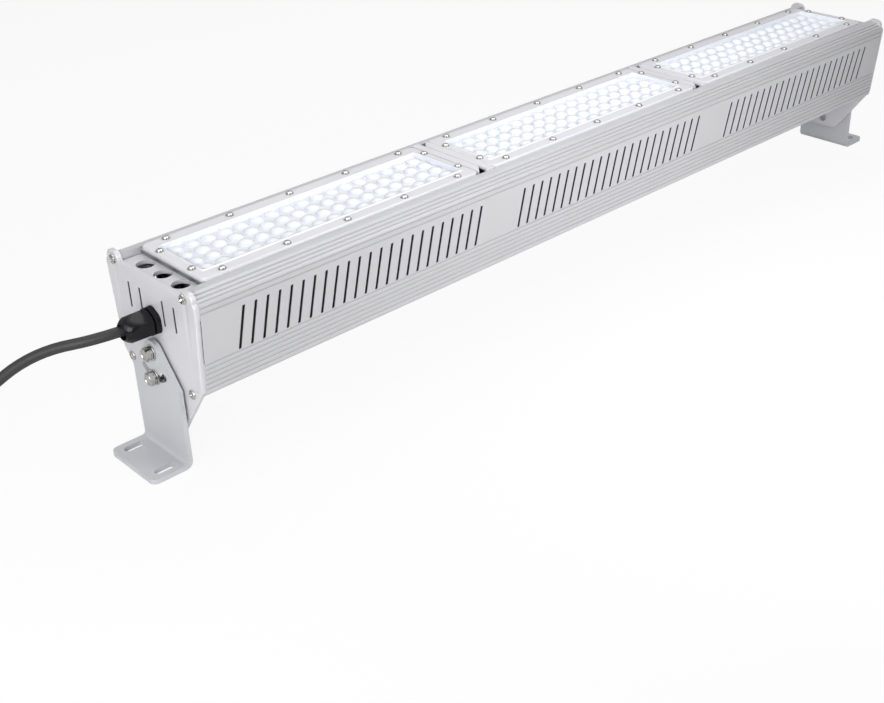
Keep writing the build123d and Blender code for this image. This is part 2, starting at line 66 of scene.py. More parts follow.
class ShadeZone(Enum):
    """Where painted shade darkens a paint."""

    ALL = "nowhere"
    RAIL = "inside a rail and in its slots"
    CAP = "in the slots of an end cap"


class Side(Enum):
    """The two ends of the fixture, by the way that each faces along X."""

    NEAR = -1
    FAR = 1

    def outward(self, station: float, y: float, z: float) -> Matrix:
        """Frame whose Z points out of this end and whose X is upright, with local units of a millimetre.

        Args:
            station: Distance from the middle of the fixture, in millimetres.
            y: Place across the fixture, in millimetres.
            z: Height in millimetres.

        Returns:
            The frame.
        """
        way = self.value
        turn = Matrix(((0, 0, way, 0), (0, 1, 0, 0), (-way, 0, 0, 0), (0, 0, 0, 1)))
        return Matrix.Translation((way * station * MM, y * MM, z * MM)) @ turn @ Matrix.Scale(MM, 4)


# Shader maths

class Field:
    """A shader socket that takes part in Python arithmetic."""

    def __init__(self, graph: "Graph", socket: bpy.types.NodeSocket) -> None:
        """Wraps one output socket of a graph."""
        self.graph = graph
        self.socket = socket

    def _math(self, operation: str, *values: "Field | float") -> "Field":
        """Adds a Math node.

        Args:
            operation: The node's operation.
            values: Its inputs in order.

        Returns:
            The node's result.
        """
        return self.graph.add("ShaderNodeMath", {"operation": operation}, dict(enumerate(values)))

    def __add__(self, other: "Field | float") -> "Field":
        """Sum."""
        return self._math("ADD", self, other)

    def __radd__(self, other: "Field | float") -> "Field":
        """Sum with the number first."""
        return self._math("ADD", other, self)

    def __sub__(self, other: "Field | float") -> "Field":
        """Difference."""
        return self._math("SUBTRACT", self, other)

    def __rsub__(self, other: "Field | float") -> "Field":
        """Difference with the number first."""
        return self._math("SUBTRACT", other, self)

    def __mul__(self, other: "Field | float") -> "Field":
        """Product."""
        return self._math("MULTIPLY", self, other)

    def __rmul__(self, other: "Field | float") -> "Field":
        """Product with the number first."""
        return self._math("MULTIPLY", other, self)

    def __truediv__(self, other: "Field | float") -> "Field":
        """Quotient."""
        return self._math("DIVIDE", self, other)

    def __rtruediv__(self, other: "Field | float") -> "Field":
        """Quotient with the number first."""
        return self._math("DIVIDE", other, self)

    def __pow__(self, other: "Field | float") -> "Field":
        """Power."""
        return self._math("POWER", self, other)

    def __abs__(self) -> "Field":
        """Absolute value."""
        return self._math("ABSOLUTE", self)

    def __gt__(self, other: "Field | float") -> "Field":
        """One where this is greater than the other, else nought."""
        return self._math("GREATER_THAN", self, other)

    def __lt__(self, other: "Field | float") -> "Field":
        """One where this is less than the other, else nought."""
        return self._math("LESS_THAN", self, other)

    def within(self, low: float, high: float) -> "Field":
        """One where this lies between two numbers, else nought."""
        return (self > low) * (self < high)

    def fraction(self) -> "Field":
        """Fractional part."""
        return self._math("FRACT", self)

    def clamped(self) -> "Field":
        """Value held between nought and one."""
        return self.graph.add("ShaderNodeClamp", {}, {"Value": self})

    def stepped(self, low: float, high: float) -> "Field":
        """Smooth rise from nought at low to one at high."""
        sockets = {"Value": self, "From Min": low, "From Max": high}
        return self.graph.add("ShaderNodeMapRange", {"interpolation_type": "SMOOTHSTEP"}, sockets)


class Graph:
    """Node tree of one material or world."""

    def __init__(self, owner: bpy.types.Material | bpy.types.World) -> None:
        """Clears the owner's nodes and keeps its tree."""
        owner.use_nodes = True
        self.tree = owner.node_tree
        self.tree.nodes.clear()

    def add(self, kind: str, settings: dict, sockets: dict, output: int | str = 0) -> Field | None:
        """Adds a node of any type.

        Args:
            kind: The node's type name.
            settings: Its properties.
            sockets: Numbers, colours or fields for its inputs, by name or index.
            output: Which output to hand back.

        Returns:
            The chosen output, or None where the node has none.
        """
        node = self.tree.nodes.new(kind)
        for name, value in settings.items():
            setattr(node, name, value)
        for name, value in sockets.items():
            if isinstance(value, Field):
                self.tree.links.new(value.socket, node.inputs[name])
            else:
                node.inputs[name].default_value = value
        return Field(self, node.outputs[output]) if node.outputs else None

    def place(self) -> Field:
        """Position on the object, in metres."""
        return self.add("ShaderNodeTexCoord", {}, {}, "Object")

    def axis(self, letter: str) -> Field:
        """One coordinate of the position in metres."""
        return self.add("ShaderNodeSeparateXYZ", {}, {0: self.place()}, letter)

    def ray(self, kind: str) -> Field:
        """One for light rays of a kind, such as Camera or Glossy, else nought."""
        return self.add("ShaderNodeLightPath", {}, {}, f"Is {kind} Ray")

    def noise(self, scale: float, detail: float, stretch: Triple = (1.0, 1.0, 1.0)) -> Field:
        """Noise in three dimensions.

        Args:
            scale: Features in a metre.
            detail: Octaves.
            stretch: Factor on the position along each axis.

        Returns:
            The noise value.
        """
        vector = self.add("ShaderNodeVectorMath", {"operation": "MULTIPLY"}, {0: self.place(), 1: stretch})
        return self.add("ShaderNodeTexNoise", {}, {"Vector": vector, "Scale": scale, "Detail": detail})

    def blended(self, factor: Field, first: Field | Triple, second: Field | Triple) -> Field:
        """Mixes two colours.

        Args:
            factor: Nought for the first colour, one for the second.
            first: A colour.
            second: Another colour.

        Returns:
            The mixed colour.
        """
        sockets = {0: factor, 6: opaque(first), 7: opaque(second)}
        return self.add("ShaderNodeMix", {"data_type": "RGBA"}, sockets, 2)

    def bump(self, height: Field, strength: float, distance: float) -> Field:
        """Normal bent by a height.

        Args:
            height: The height field.
            strength: From nought to one.
            distance: Height of one unit in metres.

        Returns:
            The bent normal.
        """
        return self.add("ShaderNodeBump", {}, {"Height": height, "Strength": strength, "Distance": distance})


def opaque(colour: Field | Triple) -> Field | tuple[float, float, float, float]:
    """A colour with its alpha added, or the field as it is."""
    return colour if isinstance(colour, Field) else (*colour, 1.0)


# Finishes

@dataclass(frozen=True)
class Finish:
    """What every surface has: a name, a colour, a roughness and, on new pieces, the record's slot, which is
    not used.
    """

    name: str
    colour: Triple
    roughness: float
    slot: str = ""

    def material(self) -> bpy.types.Material:
        """Builds the material once and hands back the same one after that."""
        title = f"{self.name}_finish"
        found = bpy.data.materials.get(title)
        if found:
            return found
        made = bpy.data.materials.new(title)
        graph = Graph(made)
        shader = graph.add("ShaderNodeBsdfPrincipled", {}, self.surface(graph))
        graph.add("ShaderNodeOutputMaterial", {}, {"Surface": shader})
        made.diffuse_color = opaque(self.colour)
        return made

    def shade(self, factor: float) -> Triple:
        """The finish's colour, lighter or darker by a factor."""
        return tuple(min(1.0, channel * factor) for channel in self.colour)

    def toned(self, graph: Graph, tone: Field, dark: float, light: float) -> Field:
        """The finish's colour with a tone in it.

        Args:
            graph: The material's graph.
            tone: Nought where the colour is dark, one where it is light.
            dark: Factor on the colour where it is dark.
            light: Factor on the colour where it is light.

        Returns:
            The colour.
        """
        return graph.blended(tone, self.shade(dark), self.shade(light))

    def surface(self, graph: Graph) -> dict:
        """Sockets of the Principled shader.

        Args:
            graph: The material's graph.

        Returns:
            Values and fields by socket name.
        """
        return {"Base Color": opaque(self.colour), "Roughness": self.roughness}


@dataclass(frozen=True)
class Section:
    """Where the faces of the housing lie that the painted shade masks need, in metres."""

    side_half: float = 0.0602
    side_level: float = 0.1355
    side_lean: float = 0.08
    side_heights: Point = (0.0745, 0.1480)
    crown_edge: Point = (0.0500, 0.1548)
    crown_slope: Point = (0.4574, 0.8896)
    crown_base: float = 0.1485
    groove_depths: Point = (0.0004, 0.0009)
    skin: float = 0.0013
    skin_heights: Point = (0.074, 0.1415)
    slot_depth: float = 0.00035
    slot_heights: Point = (0.0996, 0.1359)
    cap_station: float = 0.4526
    cap_slots_half: float = 0.0318
    cap_slot_heights: Point = (0.1160, 0.1380)

    def side_depth(self, across: Field, height: Field) -> Field:
        """Depth under a rail's leaning side."""
        return self.side_half + self.side_lean * (height - self.side_level) - across

    def groove_shade(self, graph: Graph) -> Field:
        """Mask of painted shade at the bottom of each long groove.

        Args:
            graph: The material's graph.

        Returns:
            One at the bottom of a groove in the side or the sloped crown, else nought.
        """
        height = graph.axis("Z")
        across = abs(graph.axis("Y"))
        edge, top = self.crown_edge
        crown = self.crown_slope[1] * (top - height) + self.crown_slope[0] * (edge - across)
        side = self.side_depth(across, height)
        on_side = side.within(*self.groove_depths) * height.within(*self.side_heights)
        on_crown = crown.within(*self.groove_depths) * (across > edge) * (height > self.crown_base)
        return (on_side + on_crown).clamped()

    def rail_painted_shade(self, graph: Graph) -> Field:
        """Mask of painted shade inside a rail and in its slots.

        Args:
            graph: The material's graph.

        Returns:
            One on the inner faces and in the slots of the leaning sides, else nought.
        """
        height = graph.axis("Z")
        depth = self.side_depth(abs(graph.axis("Y")), height)
        inner = (depth > self.skin) * height.within(*self.skin_heights)
        slots = (depth > self.slot_depth) * height.within(*self.slot_heights)
        return (inner + slots).clamped()

    def cap_painted_shade(self, graph: Graph) -> Field:
        """Mask of painted shade in the slots of an end cap.

        Args:
            graph: The material's graph.

        Returns:
            One in the slots and behind them, else nought.
        """
        behind = (abs(graph.axis("X")) < self.cap_station) * (abs(graph.axis("Y")) < self.cap_slots_half)
        return behind * graph.axis("Z").within(*self.cap_slot_heights)


@dataclass(frozen=True)
class Paint(Finish):
    """Silver-grey paint with metal flake, laid on cast, folded or extruded metal."""

    flake: float = 0.04
    peel: float = 0.00004
    metallic: float = 0.15
    # Where painted shade lies, how dark it is, and how much of it darkens the groove bottoms.
    shade_zone: ShadeZone = ShadeZone.ALL
    painted_shade_level: float = 0.10
    groove_shade_share: float = 0.22
    drawn: Triple = (0.02, 1.0, 1.0)
    section: Section = Section()

    def surface(self, graph: Graph) -> dict:
        """Cloudy colour, fine flake and an even orange peel, drawn out along X on an extrusion, with painted
        shade in a rail's groove bottoms, slots and inner faces, or in a cap's slots.
        """
        on_rail = self.shade_zone is ShadeZone.RAIL
        clouds = graph.noise(scale=9.0, detail=4.0)
        flake = graph.noise(scale=2600.0, detail=1.0)
        lines = graph.noise(1500.0, 2.0, self.drawn) if on_rail else graph.noise(scale=1500.0, detail=2.0)
        spread = 1.0 + self.flake * 2
        colour = self.toned(graph, 0.60 * clouds + 0.25 * flake + 0.15 * lines, dark=1 / spread, light=spread)
        # Near-black painted shade for the slots, the inner faces and the groove bottoms.
        painted_dark = self.shade(self.painted_shade_level)
        if on_rail:
            # Painted shade darkens the groove bottoms a little.
            colour = graph.blended(self.groove_shade_share * self.section.groove_shade(graph), colour, painted_dark)
            # Painted shade in the rail's slots and on its inner faces.
            colour = graph.blended(self.section.rail_painted_shade(graph), colour, painted_dark)
        elif self.shade_zone is ShadeZone.CAP:
            # Painted shade in the cap's slots and behind them.
            colour = graph.blended(self.section.cap_painted_shade(graph), colour, painted_dark)
        relief = lines if on_rail else graph.noise(scale=700.0, detail=2.0)
        return {
            "Base Color": colour,
            "Roughness": self.roughness + 0.10 * (clouds - 0.5) + 0.06 * (lines - 0.5),
            "Metallic": self.metallic,
            "Normal": graph.bump(relief, strength=0.35, distance=self.peel),
        }


@dataclass(frozen=True)
class Metal(Finish):
    """Bare or plated metal with fine brushing."""

    brushed: Triple = (1.0, 1.0, 1.0)

    def surface(self, graph: Graph) -> dict:
        """Bright metal whose roughness and tone follow its brushing."""
        grain = graph.noise(900.0, 3.0, self.brushed)
        stains = graph.noise(scale=60.0, detail=3.0)
        return {
            "Base Color": self.toned(graph, 0.6 * grain + 0.4 * stains, dark=0.82, light=1.12),
            "Roughness": self.roughness + 0.18 * (grain - 0.5) + 0.1 * (stains - 0.5),
            "Metallic": 1.0,
            "Normal": graph.bump(grain, strength=0.3, distance=0.00003),
        }


@dataclass(frozen=True)
class Plastic(Finish):
    """Moulded plastic with a fine texture."""

    texture: float = 0.00003
    specular: float = 0.5

    def surface(self, graph: Graph) -> dict:
        """Even colour with a slight mottle and a fine grain."""
        mottle = graph.noise(scale=45.0, detail=3.0)
        grain = graph.noise(scale=1800.0, detail=2.0)
        return {
            "Base Color": self.toned(graph, mottle, dark=0.88, light=1.12),
            "Roughness": self.roughness + 0.12 * (mottle - 0.5),
            "Normal": graph.bump(grain, strength=0.4, distance=self.texture),
            "Specular IOR Level": self.specular,
        }


@dataclass(frozen=True)
class Lens(Finish):
    """Clear moulded lens over a white board: a grey flange round a cool white field of domes, in metres."""

    field_colour: Triple = (0.885, 0.915, 0.975)
    # Colours of the painted highlight and of the painted shade ring on each dome.
    highlight_colour: Triple = (0.98, 0.985, 0.99)
    rim_shade_colour: Triple = (0.84, 0.875, 0.945)
    module_pitch: float = 0.294
    field_half: Point = (0.1310, 0.0312)
    dome_pitch: Point = (0.0151, 0.0140)
    highlight_fade: Point = (0.0012, 0.0036)
    rim_shade_rise: Point = (0.0044, 0.0058)
    rim_shade_fade: Point = (0.0062, 0.0078)
    highlight_share: float = 0.85
    rim_shade_share: float = 0.6
    coat: float = 0.5
    coat_roughness: float = 0.06

    def surface(self, graph: Graph) -> dict:
        """Glossy pale plastic; each dome has a painted highlight at its middle and painted shade in a soft
        ring round its foot.
        """
        along = self.folded(graph.axis("X"), self.module_pitch, 0.5)
        across = graph.axis("Y")
        inside = (abs(along) < self.field_half[0]) * (abs(across) < self.field_half[1])
        cell_x = self.folded(along, self.dome_pitch[0], 0.5)
        cell_y = self.folded(across, self.dome_pitch[1], 0.0)
        radius = (cell_x * cell_x + cell_y * cell_y) ** 0.5
        # Painted highlight at the middle of each dome.
        painted_highlight = 1.0 - radius.stepped(*self.highlight_fade)
        # Painted shade in a ring round each dome's foot.
        rim_shade = radius.stepped(*self.rim_shade_rise) * (1.0 - radius.stepped(*self.rim_shade_fade))
        domes = graph.blended(self.highlight_share * painted_highlight, self.field_colour, self.highlight_colour)
        domes = graph.blended(self.rim_shade_share * rim_shade, domes, self.rim_shade_colour)
        flange = self.toned(graph, graph.noise(scale=70.0, detail=2.0), dark=0.97, light=1.03)
        return {
            "Base Color": graph.blended(inside, flange, domes),
            "Roughness": self.roughness,
            "Coat Weight": self.coat,
            "Coat Roughness": self.coat_roughness,
            "Normal": graph.bump(graph.noise(scale=300.0, detail=1.0), strength=0.1, distance=0.00002),
        }

    @staticmethod
    def folded(value: Field, pitch: float, phase: float) -> Field:
        """Distance from the nearest of a row of evenly spaced places.

        Args:
            value: A coordinate in metres.
            pitch: The spacing of the places.
            phase: A half where a place lies at nought, nought where it lies half a pitch away.

        Returns:
            The signed distance in metres.
        """
        return ((value / pitch + phase).fraction() - 0.5) * pitch


ALONG = (0.03, 1.0, 1.0)
# The rail and cap paints hold painted shade in their slots, the rail's also in its groove bottoms and inner
# faces.
RAIL_PAINT = Paint("rail_paint", (0.575, 0.573, 0.592), 0.42, shade_zone=ShadeZone.RAIL)
CAP_PAINT = Paint("cap_paint", (0.70, 0.695, 0.725), 0.40, "cap_paint", peel=0.00006, shade_zone=ShadeZone.CAP)
BRIDGE_PAINT = Paint("bridge_paint", (0.80, 0.795, 0.84), 0.36)
BRACKET_PAINT = Paint("bracket_paint", (0.60, 0.61, 0.64), 0.42)
ZINC = Metal("zinc_plate", (0.56, 0.55, 0.53), 0.22, "zinc_fasteners")
SHEET = Metal("tray_sheet", (0.66, 0.67, 0.69), 0.42, brushed=ALONG)
SINK = Metal("sink_aluminium", (0.34, 0.35, 0.37), 0.45, brushed=ALONG)
BOARD = Plastic("board_white", (0.86, 0.87, 0.88), 0.45)
LENS = Lens("lens_clear", (0.80, 0.795, 0.845), 0.18, "lens_plastic")
GASKET = Plastic("gasket_pale", (0.46, 0.46, 0.48), 0.6)
DRIVER = Metal("driver_case", (0.30, 0.31, 0.32), 0.5, brushed=ALONG)
TERMINAL = Plastic("terminal_white", (0.80, 0.80, 0.76), 0.5)
NYLON = Plastic("gland_nylon", (0.008, 0.008, 0.010), 0.14, "gland_plastic", texture=0.000004, specular=0.22)
RUBBER = Plastic("seal_rubber", (0.015, 0.015, 0.015), 0.6, "seal_rubber")
JACKET = Plastic("lead_jacket", (0.026, 0.026, 0.028), 0.50, "lead_jacket")
TIE = Plastic("tie_black", (0.012, 0.012, 0.012), 0.5)
CORES = (
    Plastic("core_brown", (0.14, 0.05, 0.02), 0.4, "core_insulation"),
    Plastic("core_blue", (0.03, 0.10, 0.40), 0.4, "core_insulation"),
    Plastic("core_green", (0.10, 0.34, 0.06), 0.4, "core_insulation"),
)
COPPER = Metal("bare_copper", (0.72, 0.36, 0.20), 0.35, "core_insulation")


# Mesh helpers

def linked(name: str, data: bpy.types.ID) -> bpy.types.Object:
    """Makes an object in the scene.

    Args:
        name: Its name.
        data: Its mesh, curve, lamp or camera.

    Returns:
        The object.
    """
    made = bpy.data.objects.new(name, data)
    bpy.context.scene.collection.objects.link(made)
    return made


class Shape:
    """A mesh under construction, in metres. Each step hands the shape back."""

    def __init__(self) -> None:
        """Starts empty."""
        self.mesh = bmesh.new()

    def rings(self, loops: list[list[Vector]], ends: Ends = Ends.CLOSED) -> "Shape":
        """Joins closed loops of equal length by quads.

        Args:
            loops: The loops in order.
            ends: How the first and last loops end.

        Returns:
            This shape.
        """
        rows = [[self.mesh.verts.new(point) for point in loop] for loop in loops]
        count = len(rows[0])
        pairs = list(zip(rows, rows[1:]))
        if ends is Ends.JOINED:
            pairs.append((rows[-1], rows[0]))
        for low, high in pairs:
            for i in range(count):
                j = (i + 1) % count
                self.mesh.faces.new((low[i], low[j], high[j], high[i]))
        if ends is Ends.CLOSED:
            self.mesh.faces.new(tuple(reversed(rows[0])))
            self.mesh.faces.new(tuple(rows[-1]))
        return self

    def lathe(
        self,
        profile: list[Point],
        segments: int,
        axis: Matrix,
        ends: Ends = Ends.CLOSED,
        across_flats: float = math.inf,
    ) -> "Shape":
        """Turns a round or hexagon bar down: each point lies on the nearer of the flats and the turned form.

        Args:
            profile: Radius and height of each step, from the base to the tip.
            segments: Steps round the axis, a multiple of six for a hexagon.
            axis: Frame whose Z is the axis.
            ends: How the first and last loops end.
            across_flats: Width of the hexagon, endless for a round bar.

        Returns:
            This shape.
        """
        sixth = math.pi / 3
        loops = []
        for radius, height in profile:
            loop = []
            for i in range(segments):
                turn = 2 * math.pi * i / segments
                reach = min(radius, across_flats / 2 / math.cos(turn % sixth - sixth / 2))
                loop.append(axis @ Vector((reach * math.cos(turn), reach * math.sin(turn), height)))
            loops.append(loop)
        return self.rings(loops, ends)

    def append(self, mesh: bpy.types.Mesh, places: list[Matrix]) -> "Shape":
        """Adds copies of a finished mesh.

        Args:
            mesh: The mesh to copy.
            places: Where each copy goes.

        Returns:
            This shape.
        """
        for place in places:
            part = bmesh.new()
            part.from_mesh(mesh)
            bmesh.ops.transform(part, matrix=place, verts=part.verts)
            scratch = bpy.data.meshes.new("copy")
            part.to_mesh(scratch)
            part.free()
            self.mesh.from_mesh(scratch)
            bpy.data.meshes.remove(scratch)
        return self

    def done(self, name: str, smooth_angle: float = 35.0) -> bpy.types.Object:
        """Makes the object.

        Args:
            name: Its name.
            smooth_angle: Edges flatter than this many degrees are shaded smooth.

        Returns:
            The object.
        """
        bmesh.ops.recalc_face_normals(self.mesh, faces=self.mesh.faces)
        limit = math.radians(smooth_angle)
        for face in self.mesh.faces:
            face.smooth = True
        for edge in self.mesh.edges:
            if len(edge.link_faces) == 2 and edge.calc_face_angle(0.0) > limit:
                edge.smooth = False
        data = bpy.data.meshes.new(name)
        self.mesh.to_mesh(data)
        self.mesh.free()
        return linked(name, data)


def spun(degrees: float) -> Matrix:
    """Turn about Z by an angle in degrees."""
    return Matrix.Rotation(math.radians(degrees), 4, "Z")


def at(x: float, y: float, z: float, turn: Matrix = IN_PLACE) -> Matrix:
    """Frame at a place in metres.

    Args:
        x: Place along the fixture.
        y: Place across it.
        z: Height.
        turn: Rotation of the frame.

    Returns:
        The frame, whose local units are millimetres.
    """
    return Matrix.Translation((x, y, z)) @ turn @ Matrix.Scale(MM, 4)


def rounded_loop(half_x: float, half_y: float, radius: float, z: float, place: Matrix) -> list[Vector]:
    """Closed loop of a rectangle with round corners.

    Args:
        half_x: Half length.
        half_y: Half width.
        radius: Corner radius.
        z: Height.
        place: Frame of the rectangle.

    Returns:
        The points, turning to the left.
    """
    steps = 5
    points = []
    for sx, sy, start in [(1, 1, 0), (-1, 1, 90), (-1, -1, 180), (1, -1, 270)]:
        for i in range(steps + 1):
            turn = math.radians(start + 90 * i / steps)
            x = sx * (half_x - radius) + radius * math.cos(turn)
            y = sy * (half_y - radius) + radius * math.sin(turn)
            points.append(place @ Vector((x, y, z)))
    return points


def combined(body: bpy.types.Object, tools: list[bpy.types.Object], operation: str) -> bpy.types.Mesh:
    """Joins objects to another or cuts them out of it, and deletes them all.

    Args:
        body: What is changed.
        tools: What is joined on or taken away.
        operation: UNION or DIFFERENCE.

    Returns:
        The changed mesh.
    """
    for tool in tools:
        step = body.modifiers.new("step", "BOOLEAN")
        step.operation = operation
        step.solver = "EXACT"
        step.object = tool
    graph = bpy.context.evaluated_depsgraph_get()
    result = bpy.data.meshes.new_from_object(body.evaluated_get(graph))
    for used in [body, *tools]:
        bpy.data.objects.remove(used)
    return result


def threaded(radius: float, pitch: float, start: float, end: float) -> list[Point]:
    """Profile of a screw thread as rings, with a point at its start.

    Args:
        radius: Outer radius.
        pitch: Distance from ring to ring.
        start: Height of the point.
        end: Height where the thread ends.

    Returns:
        Radius and height of each step.
    """
    root = radius - 0.3 * pitch
    profile = [(0.5 * root, start)]
    for i in range(int((end - start - pitch) / pitch)):
        low = start + pitch * (i + 0.6)
        profile += [(root, low), (radius, low + 0.5 * pitch)]
    return profile + [(root, end)]


def dress(piece: bpy.types.Object, finish: Finish) -> bpy.types.Object:
    """Gives a piece its finish.

    Args:
        piece: The piece.
        finish: Its finish.

    Returns:
        The piece.
    """
    piece.data.materials.clear()
    piece.data.materials.append(finish.material())
    LOG.info("%s in %s", piece.name, finish.name)
    return piece


def mount(piece: bpy.types.Object, finish: Finish, *stands_for: str) -> bpy.types.Object:
    """Dresses a new piece and fixes it to the housing.

    Args:
        piece: The piece.
        finish: Its finish.
        stands_for: Frame nodes that it replaces.

    Returns:
        The piece.
    """
    dress(piece, finish)
    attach(piece, HOUSING)
    if stands_for:
        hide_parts(*stands_for)
    return piece


def soften(node: bpy.types.Object, width: float) -> None:
    """Breaks the sharp edges of a frame node.

    Args:
        node: The node.
        width: Bevel width in millimetres.
    """
    bevel = node.modifiers.new("broken_edges", "BEVEL")
    bevel.width = width * MM
    bevel.segments = 2
    bevel.limit_method = "ANGLE"
    bevel.angle_limit = math.radians(40)
    bevel.harden_normals = True


# Sub-assemblies

@dataclass
class Housing:
    """Rails, tray, driver and bridges, all from the frame."""

    finishes: dict[str, Finish] = field(default_factory=lambda: {
        "front_rail": RAIL_PAINT,
        "rear_rail": RAIL_PAINT,
        "module_bridges": BRIDGE_PAINT,
        "bottom_tray": SHEET,
        "driver_case": DRIVER,
        "driver_end_plates": DRIVER,
        "terminal_block": TERMINAL,
    })

    def build(self) -> None:
        """Dresses each node in its finish."""
        for name, finish in self.finishes.items():
            dress(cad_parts[name], finish)


@dataclass
class EndCaps:
    """End caps with their vent slots on both sides of the gland, in millimetres."""

    rail_end: float = 449.0
    face: float = 453.0
    drawn_slots: tuple[float, ...] = (-22.5, -7.5, 7.5, 22.5)
    slots: tuple[float, ...] = (-30.4, -15.2, 15.2, 30.4)
    slot_half: float = 1.25
    slot_ends: Point = (116.3, 137.7)
    overlap: float = 0.2
    skin: float = 0.03
    reach: float = 1.0
    gland_height: float = 116.5
    gland_radius: float = 8.1
    gland_segments: int = 48
    smooth_angle: float = 30.0

    def build(self) -> None:
        """Builds both caps."""
        for side in Side:
            self.cap(side)

    def cap(self, side: Side) -> None:
        """Closes the slots of the frame's cap and cuts them where they belong.

        Args:
            side: The end.
        """
        name = f"{side.name.lower()}_end_cap"
        low, high = self.slot_ends
        heights = (low - self.overlap, high + self.overlap)
        inside = (self.rail_end + self.skin, self.face - self.skin)
        through = (self.rail_end - self.reach, self.face + self.reach)
        wider = self.slot_half + self.overlap
        fillers = [self.bar(side, y, wider, heights, inside) for y in self.drawn_slots]
        closed = combined(linked("cap_blank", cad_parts[name].data.copy()), fillers, "UNION")
        cutters = [self.bar(side, y, self.slot_half, self.slot_ends, through) for y in self.slots]
        if side is Side.NEAR:
            hole = [(self.gland_radius, 0), (self.gland_radius, through[1] - through[0])]
            place = side.outward(through[0], 0, self.gland_height)
            cutters.append(Shape().lathe(hole, self.gland_segments, place).done("gland_hole"))
        cut = combined(linked("cap_closed", closed), cutters, "DIFFERENCE")
        piece = Shape().append(cut, [IN_PLACE]).done(f"slotted_{name}", self.smooth_angle)
        mount(piece, CAP_PAINT, name)

    def bar(self, side: Side, y: float, half: float, heights: Point, stations: Point) -> bpy.types.Object:
        """Upright bar through the cap.

        Args:
            side: The end.
            y: Its place across the fixture.
            half: Its half width.
            heights: Where it begins and ends.
            stations: Its inner and outer faces.

        Returns:
            The bar.
        """
        corners = [(heights[0], -half), (heights[1], -half), (heights[1], half), (heights[0], half)]
        loops = []
        for station in stations:
            x = side.value * station * MM
            loops.append([Vector((x, (y + across) * MM, z * MM)) for z, across in corners])
        return Shape().rings(loops).done("slot_bar")


@dataclass
class PanScrew:
    """Pan-head screw with a cross recess, standing on its seat, in millimetres."""

    head_radius: float
    head_height: float
    washer_radius: float = 0.0
    washer_height: float = 0.0
    shank_radius: float = 1.95
    shank_length: float = 0.0
    thread_pitch: float = 1.4
    segments: int = 28

    def mesh(self) -> bpy.types.Mesh:
        """Builds one screw.

        Returns:
            Its mesh, in millimetres.
        """
        base = self.washer_height
        shares = [(0.96, 0.0), (1.0, 0.25), (0.98, 0.5), (0.88, 0.78), (0.66, 0.94), (0.30, 1.0)]
        profile = [(self.head_radius * r, base + self.head_height * h) for r, h in shares]
        head = Shape().lathe(profile, self.segments, IN_PLACE).done("head")
        shape = Shape()
        if self.washer_radius:
            w = self.washer_radius
            bore = 0.5 * self.head_radius
            washer = [(w * 0.97, 0.0), (w, 0.15), (w, base - 0.15), (w * 0.96, base), (bore, base)]
            shape.lathe(washer, self.segments, IN_PLACE)
        if self.shank_length:
            shank = threaded(self.shank_radius, self.thread_pitch, -self.shank_length, 0.0)
            shape.lathe(shank, self.segments // 2, IN_PLACE)
        recess = [self.blade(turn, base + self.head_height) for turn in (0, 90)]
        screw = shape.append(combined(head, recess, "DIFFERENCE"), [IN_PLACE]).done("screw")
        data = screw.data
        bpy.data.objects.remove(screw)
        return data

    def blade(self, turn: float, top: float) -> bpy.types.Object:
        """One arm of the cross recess.

        Args:
            turn: Its direction in degrees.
            top: Height of the head.

        Returns:
            A tapered blade that reaches through the top.
        """
        half_width = 0.13 * self.head_radius
        reach = 0.58 * self.head_radius
        depth = 0.6 * self.head_height
        corners = [(1, 1), (-1, 1), (-1, -1), (1, -1)]
        loops = []
        for z, taper in [(top - depth, 0.35), (top + 0.5, 1.0)]:
            loops.append([spun(turn) @ Vector((a * reach * taper, b * half_width, z)) for a, b in corners])
        return Shape().rings(loops).done("blade")


